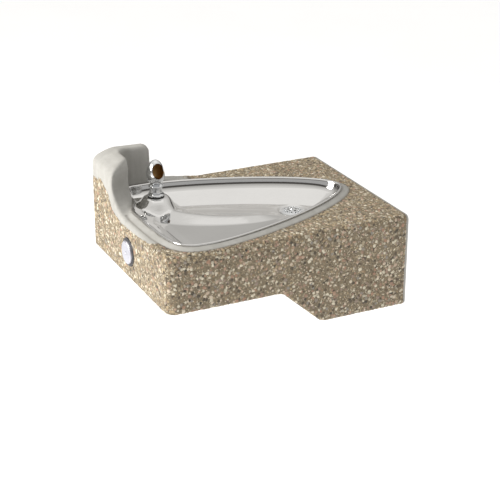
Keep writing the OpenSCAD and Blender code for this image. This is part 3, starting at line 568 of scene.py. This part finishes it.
def makeButton():
    b = button
    r, o = b["radius"], b["out"]
    profile = [(b["hole"], -o + 0.6), (b["hole"] + 0.6, -o + 0.05), (b["hole"] + 1.4, -o - 0.25)]
    profile += [(x, -o - 0.25 - 0.35 * (1 - (x / r) ** 2)) for x in np.linspace(5, r - 3.4, 7)]
    profile += [(x, y) for x, y in arcPoints(r - 2.8, -o + 2.6, 2.8, -90, 0, 8)]
    profile += [(r, 2), (r - 3, 2), (r - 3, -o + 3.2), (b["hub"], -o + 3.2), (b["hub"], b["hubEnd"]),
                (b["stem"], b["hubEnd"]), (b["stem"], 4), (b["hole"], 4)]
    place = np.array([0, front, b["axisZ"]])
    print("push button made")
    return turned("pushButton", profile, "button", "satin_steel", ["push_button"], place, "y")


def makeRing():
    r, bore, guide, proud = ring["radius"], ring["bore"], ring["guide"], ring["proud"]
    profile = [(guide, 8), (bore, 8), (bore, 0.6 - proud), (bore + 0.5, -proud), (r - 1.1, -proud),
               (r, 0.9 - proud), (r, 10), (ring["sleeve"], 10), (ring["sleeve"], ring["length"]),
               (ring["sleeveBore"], ring["length"]), (ring["sleeveBore"], 24), (guide, 24)]
    place = np.array([0, front, button["axisZ"]])
    print("button ring made")
    return turned("buttonHousing", profile, "fountain", "dark_ring", ["button_housing"], place, "y")


# the return spring behind the button, along the same axis; "keep" is how much of it is left when pressed
spring = {"radius": 10.4, "wire": 0.7, "from": -1.8, "to": 7.3, "turns": 3.0, "keep": 0.6}


def makeSpring():
    s = spring
    steps, around = 150, 12
    t = np.linspace(0, 1, steps)[:, None]
    b = np.linspace(0, 2 * np.pi, around, endpoint=False)[None]
    a = 2 * np.pi * s["turns"] * t
    # the ends lie flat, as on a ground coil
    rise = smooth((t * s["turns"] - 0.35) / (s["turns"] - 0.7)) * 0.5 + t * 0.5
    r = s["radius"] + s["wire"] * np.cos(b)
    along = s["from"] + (s["to"] - s["from"]) * rise + s["wire"] * np.sin(b)
    points = np.stack([r * np.cos(a), front + along, button["axisZ"] + r * np.sin(a)], -1)
    faces = [list(f) for f in gridFaces(steps, around)]
    faces += [list(range(around))[::-1], list(range((steps - 1) * around, steps * around))]
    piece = makePiece("returnSpring", points.reshape(-1, 3), faces, "fountain", "zinc_steel",
                      ["return_spring"])
    sharpen(piece, 60)
    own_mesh(piece)
    print("return spring made")
    return piece


# each piece under the node that it stands for
made = {
    "concrete_body": castBody(), "basin": makeBasin(), "bubbler_head": makeBubbler(),
    "push_button": makeButton(), "button_housing": makeRing(), "return_spring": makeSpring(),
}


class Wire:
    # one output socket; arithmetic on it adds Math nodes, or Mix and Vector Math for colours
    def __init__(self, tree, socket):
        self.tree, self.socket = tree, socket

    def join(self, kind, a, b):
        return self.node("ShaderNodeMath", {"operation": kind}, {0: a, 1: b})

    def __add__(self, other): return self.join("ADD", self, other)
    def __radd__(self, other): return self.join("ADD", other, self)
    def __sub__(self, other): return self.join("SUBTRACT", self, other)
    def __rsub__(self, other): return self.join("SUBTRACT", other, self)
    def __mul__(self, other): return self.join("MULTIPLY", self, other)
    def __rmul__(self, other): return self.join("MULTIPLY", other, self)
    def __truediv__(self, other): return self.join("DIVIDE", self, other)
    def __rtruediv__(self, other): return self.join("DIVIDE", other, self)
    def __pow__(self, other): return self.join("POWER", self, other)

    def node(self, kind, settings=None, values=None, out=0):
        made = self.tree.nodes.new(kind)
        for key, value in (settings or {}).items():
            if key == "stops":
                ramp = made.color_ramp
                while len(ramp.elements) < len(value):
                    ramp.elements.new(0.5)
                for stop, (at, colour) in zip(ramp.elements, value):
                    stop.position, stop.color = at, (*colour, 1)
            else:
                setattr(made, key, value)
        for key, value in (values or {}).items():
            if isinstance(value, Wire):
                self.tree.links.new(value.socket, made.inputs[key])
            else:
                made.inputs[key].default_value = value
        return Wire(self.tree, made.outputs[out])

    def between(self, low, high):
        # 0 at low, 1 at high, eased
        return self.node("ShaderNodeMapRange", {"interpolation_type": "SMOOTHSTEP"},
                         {0: self, 1: low, 2: high, 3: 0.0, 4: 1.0})

    def mix(self, a, b):
        a, b = ((*v, 1) if isinstance(v, tuple) else v for v in (a, b))
        return self.node("ShaderNodeMix", {"data_type": "RGBA"}, {0: self, 6: a, 7: b}, 2)

    def noise(self, scale, detail=3.0, roughness=0.5, stretch=(1, 1, 1)):
        where = self.node("ShaderNodeMapping", None, {"Vector": self, "Scale": stretch})
        return self.node("ShaderNodeTexNoise", None,
                         {"Vector": where, "Scale": scale, "Detail": detail, "Roughness": roughness})

    def cells(self, scale, out="Distance"):
        return self.node("ShaderNodeTexVoronoi", None, {"Vector": self, "Scale": scale}, out)


def newMaterial(name, **settings):
    # an empty material with its shader; settings go on the shader's own sockets
    material = bpy.data.materials.new(name)
    material.use_nodes = True
    tree = material.node_tree
    shader = tree.nodes["Principled BSDF"]
    for key, value in settings.items():
        shader.inputs[key.replace("_", " ")].default_value = value
    where = tree.nodes.new("ShaderNodeTexCoord").outputs["Object"]
    return material, Wire(tree, where), shader


def plug(wire, shader, name):
    wire.tree.links.new(wire.socket, shader.inputs[name])


def bump(height, shader, distance, strength=1.0):
    values = {"Height": height, "Distance": distance, "Strength": strength}
    plug(height.node("ShaderNodeBump", None, values), shader, "Normal")


def tinted(amount, shader, colour, shade):
    # the colour and a darker shade of it, mixed by the amount
    darker = tuple(c * shade for c in colour)
    plug(amount.mix(darker, colour), shader, "Base Color")


# the concrete's colours; "pebbles" and "chips" are ramps over a random number for each stone
stone = {
    "matrix": (0.20, 0.16, 0.105), "cement": (0.52, 0.51, 0.48), "cementDark": (0.40, 0.39, 0.36),
    # the last colour on the next line is painted shade, for the step round the band and the crease at the
    # rim
    "tint": (0.50, 0.42, 0.29), "pore": (0.30, 0.28, 0.25), "shadeLine": (0.12, 0.105, 0.085),
    "pebbleScale": 168.0, "chipScale": 380.0, "bendScale": 190.0, "bend": 0.0042,
    "pebbles": [(0.0, (0.035, 0.03, 0.025)), (0.12, (0.10, 0.07, 0.045)), (0.26, (0.33, 0.23, 0.13)),
                (0.42, (0.52, 0.40, 0.24)), (0.58, (0.40, 0.35, 0.26)), (0.74, (0.84, 0.77, 0.61)),
                (0.88, (0.42, 0.23, 0.15)), (1.0, (0.28, 0.27, 0.24))],
    "chips": [(0.0, (0.04, 0.03, 0.02)), (0.3, (0.26, 0.19, 0.11)), (0.65, (0.46, 0.37, 0.24)),
              (1.0, (0.88, 0.80, 0.62))],
}


def aggregate():
    material, at, shader = newMaterial("exposedAggregate")
    warp = at.noise(90, 2)
    # pebbles are seldom round, so their cells are bent a little
    bend = at.node("ShaderNodeTexNoise", None, {"Vector": at, "Scale": stone["bendScale"], "Detail": 2.0}, 1)
    bent = at.node("ShaderNodeVectorMath", {"operation": "MULTIPLY_ADD"},
                   {0: bend, 1: (stone["bend"],) * 3, 2: at})
    big = bent.cells(stone["pebbleScale"])
    own = bent.cells(stone["pebbleScale"], "Color")
    tone = own.node("ShaderNodeSeparateColor", None, {0: own}, 0)
    second = own.node("ShaderNodeSeparateColor", None, {0: own}, 1)
    pebbles = tone.node("ShaderNodeValToRGB", {"stops": stone["pebbles"]}, {0: tone})
    chipGap = bent.cells(stone["chipScale"])
    chipOwn = bent.cells(stone["chipScale"], "Color")
    chipTone = chipOwn.node("ShaderNodeSeparateColor", None, {0: chipOwn}, 0)
    chips = chipTone.node("ShaderNodeValToRGB", {"stops": stone["chips"]}, {0: chipTone})
    size = 0.34 + second * 0.26
    stoneMask = 1 - (big - size).between(-0.04, 0.04)
    chipMask = 1 - chipGap.between(0.34, 0.50)
    ground = chipMask.mix(stone["matrix"], chips)
    etchedColour = stoneMask.mix(ground, pebbles)
    patch = bent.noise(9, 3)
    etchedColour = (patch * 0.22).mix(etchedColour, stone["tint"])
    # smooth cement: mottled, with faint upright streaks and small pores
    mottle = at.noise(28, 5, 0.6)
    streak = at.noise(60, 3, 0.6, (1, 1, 0.06))
    pore = 1 - at.cells(260).between(0.05, 0.13)
    smear = at.noise(320, 2)
    shade = (mottle * 0.55 + streak * 0.35).between(0.25, 0.72)
    cementColour = (pore * 0.45).mix(shade.mix(stone["cementDark"], stone["cement"]), stone["pore"])
    depth = at.node("ShaderNodeAttribute", {"attribute_name": "cement"}, None, 2)
    cementMask = (depth * 12 + (at.noise(130, 4, 0.6) - 0.5) * 5.0).between(-0.7, 0.9)
    # painted shade darkens the step round the band and the line where the band meets the rim
    grime = at.node("ShaderNodeAttribute", {"attribute_name": "grime"}, None, 2)
    colour = cementMask.mix(etchedColour, cementColour)
    plug((grime * (0.45 + mottle * 0.5)).mix(colour, stone["shadeLine"]), shader, "Base Color")
    rough = 0.72 + stoneMask * -0.14 + smear * 0.1
    plug(rough + cementMask * 0.08, shader, "Roughness")
    dome = (1 - (big / 0.62) ** 2.0) * stoneMask
    relief = dome * 1.0 + (1 - chipGap) * 0.35 + warp * 0.1
    height = relief * (1 - cementMask) + cementMask * (1.25 + mottle * 0.08 + streak * 0.10 - pore * 0.25)
    bump(height, shader, 0.0011, 0.9)
    return material


def polishedSteel(name, colour, rough, wave=0.00004):
    # sheet or plate, with light polishing marks
    material, at, shader = newMaterial(name, Metallic=1.0)
    cloud = at.noise(14, 3)
    line = at.noise(420, 2, 0.5, (1, 0.05, 1))
    tinted((cloud * 0.5 + line * 0.3).between(0.2, 0.7), shader, colour, 0.94)
    plug(rough + cloud * rough * 0.5 + line * rough * 0.4, shader, "Roughness")
    bump(cloud + line * 0.2, shader, wave, 0.6)
    return material


def brushedMetal(name, colour, rough, direction=(1, 0.03, 1)):
    # the grain is drawn out along the direction's smallest number
    material, at, shader = newMaterial(name, Metallic=1.0)
    grain = at.noise(700, 3, 0.6, direction)
    patch = at.noise(30, 3)
    tinted((grain * 0.6 + patch * 0.4).between(0.3, 0.7), shader, colour, 0.8)
    plug(rough + grain * 0.14 + patch * 0.06, shader, "Roughness")
    bump(grain, shader, 0.00006, 0.5)
    return material


def castMetal(name, colour, dark, rough):
    # brass fittings and the rolled bars, with darker patches
    material, at, shader = newMaterial(name, Metallic=1.0)
    patch = at.noise(45, 4, 0.6)
    speck = at.noise(600, 2)
    plug(patch.between(0.35, 0.65).mix(dark, colour), shader, "Base Color")
    plug(rough + patch * 0.15 + speck * 0.08, shader, "Roughness")
    bump(patch * 0.4 + speck, shader, 0.00008, 0.5)
    return material


def moulded(name, colour, rough, grainScale=500, shade=0.8):
    # rubber, plastic and sealant
    material, at, shader = newMaterial(name)
    grain = at.noise(grainScale, 3)
    patch = at.noise(35, 3)
    tinted((grain * 0.4 + patch * 0.6).between(0.3, 0.7), shader, colour, shade)
    plug(rough + grain * 0.12, shader, "Roughness")
    bump(grain, shader, 0.00007, 0.5)
    return material


finishes = {
    "exposed_aggregate": aggregate(),
    "bar_steel": castMetal("barSteel", (0.20, 0.15, 0.12), (0.30, 0.14, 0.08), 0.6),
    "zinc_steel": brushedMetal("zincSteel", (0.62, 0.63, 0.64), 0.34, (1, 1, 0.1)),
    "plate_steel": brushedMetal("plateSteel", (0.66, 0.67, 0.68), 0.30),
    "polished_steel": polishedSteel("polishedSteel", (0.76, 0.75, 0.735), 0.05),
    "chrome_plate": polishedSteel("chromePlate", (0.84, 0.85, 0.86), 0.03, 0.00001),
    "satin_steel": brushedMetal("satinSteel", (0.66, 0.66, 0.72), 0.36, (1, 1, 1)),
    "dark_ring": moulded("darkRing", (0.045, 0.045, 0.05), 0.42),
    "brass": castMetal("brass", (0.66, 0.45, 0.21), (0.46, 0.30, 0.13), 0.36),
    "rubber": moulded("rubber", (0.03, 0.03, 0.03), 0.62),
    "sealant": moulded("sealant", (0.20, 0.20, 0.19), 0.5),
    "poly_tube": moulded("polyTube", (0.78, 0.78, 0.74), 0.38, 300, 0.9),
    "acetal": moulded("acetal", (0.80, 0.79, 0.74), 0.34, 300, 0.92),
}


def paint(piece, slotName):
    piece.data.materials.clear()
    piece.data.materials.append(finishes[slotName])


slots = {s["node"]: s["material_slot"] for s in frame["record"]["subparts"]}
for name, node in frame["nodes"].items():
    paint(node, slots[name])
for piece in made.values():
    paint(piece, piece["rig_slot"])
lineHood(made["bubbler_head"], finishes["brass"])
print("finishes made:", len(finishes))

# a pale room, in metres and watts
studio = {
    "floorDepth": 0.42, "floorSize": 60.0, "floorGlow": 0.34, "world": 0.92, "middle": (0, -0.25, 0),
    "key": 66.0, "keyPlace": (-0.35, -2.6, 1.25), "keySize": 1.2, "keyColour": (1, 0.985, 0.96),
    "fill": 1.2, "fillPlace": (-0.4, -0.2, 2.2), "fillSize": 1.6,
    # the room's brightness from straight below to straight above
    "sky": [(0.0, (0.5, 0.5, 0.5)), (0.02, (0.07, 0.065, 0.06)), (0.23, (0.10, 0.095, 0.09)),
            (0.29, (0.56, 0.55, 0.53)), (0.42, (0.64, 0.63, 0.61)), (0.75, (0.88, 0.87, 0.85)),
            (1.0, (0.94, 0.93, 0.91))],
}
# the front and right side are seen; angles in degrees, distance in metres
view = {"lens": 101.5, "sensor": 36, "shift": (0.0095, -0.0157), "azimuth": 64.35, "elevation": 22.83,
        "distance": 2.71469, "target": (0, -0.25, (deck - 80) * mm)}


def areaLight(name, place, size, power, colour=(1, 1, 1)):
    data = bpy.data.lights.new(name, "AREA")
    data.shape, data.size, data.energy, data.color = "SQUARE", size, power, colour
    lamp = bpy.data.objects.new(name, data)
    bpy.context.scene.collection.objects.link(lamp)
    lamp.location = place
    lamp.rotation_euler = (Vector(studio["middle"]) - Vector(place)).to_track_quat("-Z", "Y").to_euler()


def makeStudio():
    floorMesh = bpy.data.meshes.new("floor")
    r, z = studio["floorSize"], cadLow.z - studio["floorDepth"]
    floorMesh.from_pydata([(-r, -r, z), (r, -r, z), (r, r, z), (-r, r, z)], [], [(0, 1, 2, 3)])
    floor = bpy.data.objects.new("studioFloor", floorMesh)
    bpy.context.scene.collection.objects.link(floor)
    material, at, shader = newMaterial("paleFloor", Roughness=0.9, Emission_Color=(1, 1, 1, 1),
                                       Emission_Strength=studio["floorGlow"])
    plug(at.noise(3, 2).between(0.3, 0.7).mix((0.93,) * 3, (0.95,) * 3), shader, "Base Color")
    floorMesh.materials.append(material)
    world = bpy.data.worlds.new("softRoom")
    bpy.context.scene.world = world
    world.use_nodes = True
    tree = world.node_tree
    at = Wire(tree, tree.nodes.new("ShaderNodeTexCoord").outputs["Generated"])
    across, along, up = (at.node("ShaderNodeSeparateXYZ", None, {0: at}, k) for k in (0, 1, 2))
    # the room is dark below head height on one side, so that the steel shows dark streaks
    dark = (across * 0.83 - along * 0.4).between(0.15, 0.5)
    up = up - dark * 0.9 * (1 - up)
    sky = up.node("ShaderNodeValToRGB", {"stops": studio["sky"]}, {0: up})
    tree.links.new(sky.socket, tree.nodes["Background"].inputs["Color"])
    tree.nodes["Background"].inputs["Strength"].default_value = studio["world"]
    areaLight("keyLight", studio["keyPlace"], studio["keySize"], studio["key"], studio["keyColour"])
    areaLight("topLight", studio["fillPlace"], studio["fillSize"], studio["fill"])


def makeCamera():
    data = bpy.data.cameras.new("camera")
    data.lens, data.sensor_width = view["lens"], view["sensor"]
    data.shift_x, data.shift_y = view["shift"]
    camera = bpy.data.objects.new("camera", data)
    bpy.context.scene.collection.objects.link(camera)
    azimuth, elevation = math.radians(view["azimuth"]), math.radians(view["elevation"])
    back = Vector((math.sin(azimuth) * math.cos(elevation), -math.cos(azimuth) * math.cos(elevation),
                   math.sin(elevation)))
    camera.location = Vector(view["target"]) + back * view["distance"]
    camera.rotation_euler = back.to_track_quat("Z", "Y").to_euler()
    bpy.context.scene.camera = camera


makeStudio()
makeCamera()
bpy.context.scene.view_settings.view_transform = "Standard"
print("studio and camera ready")
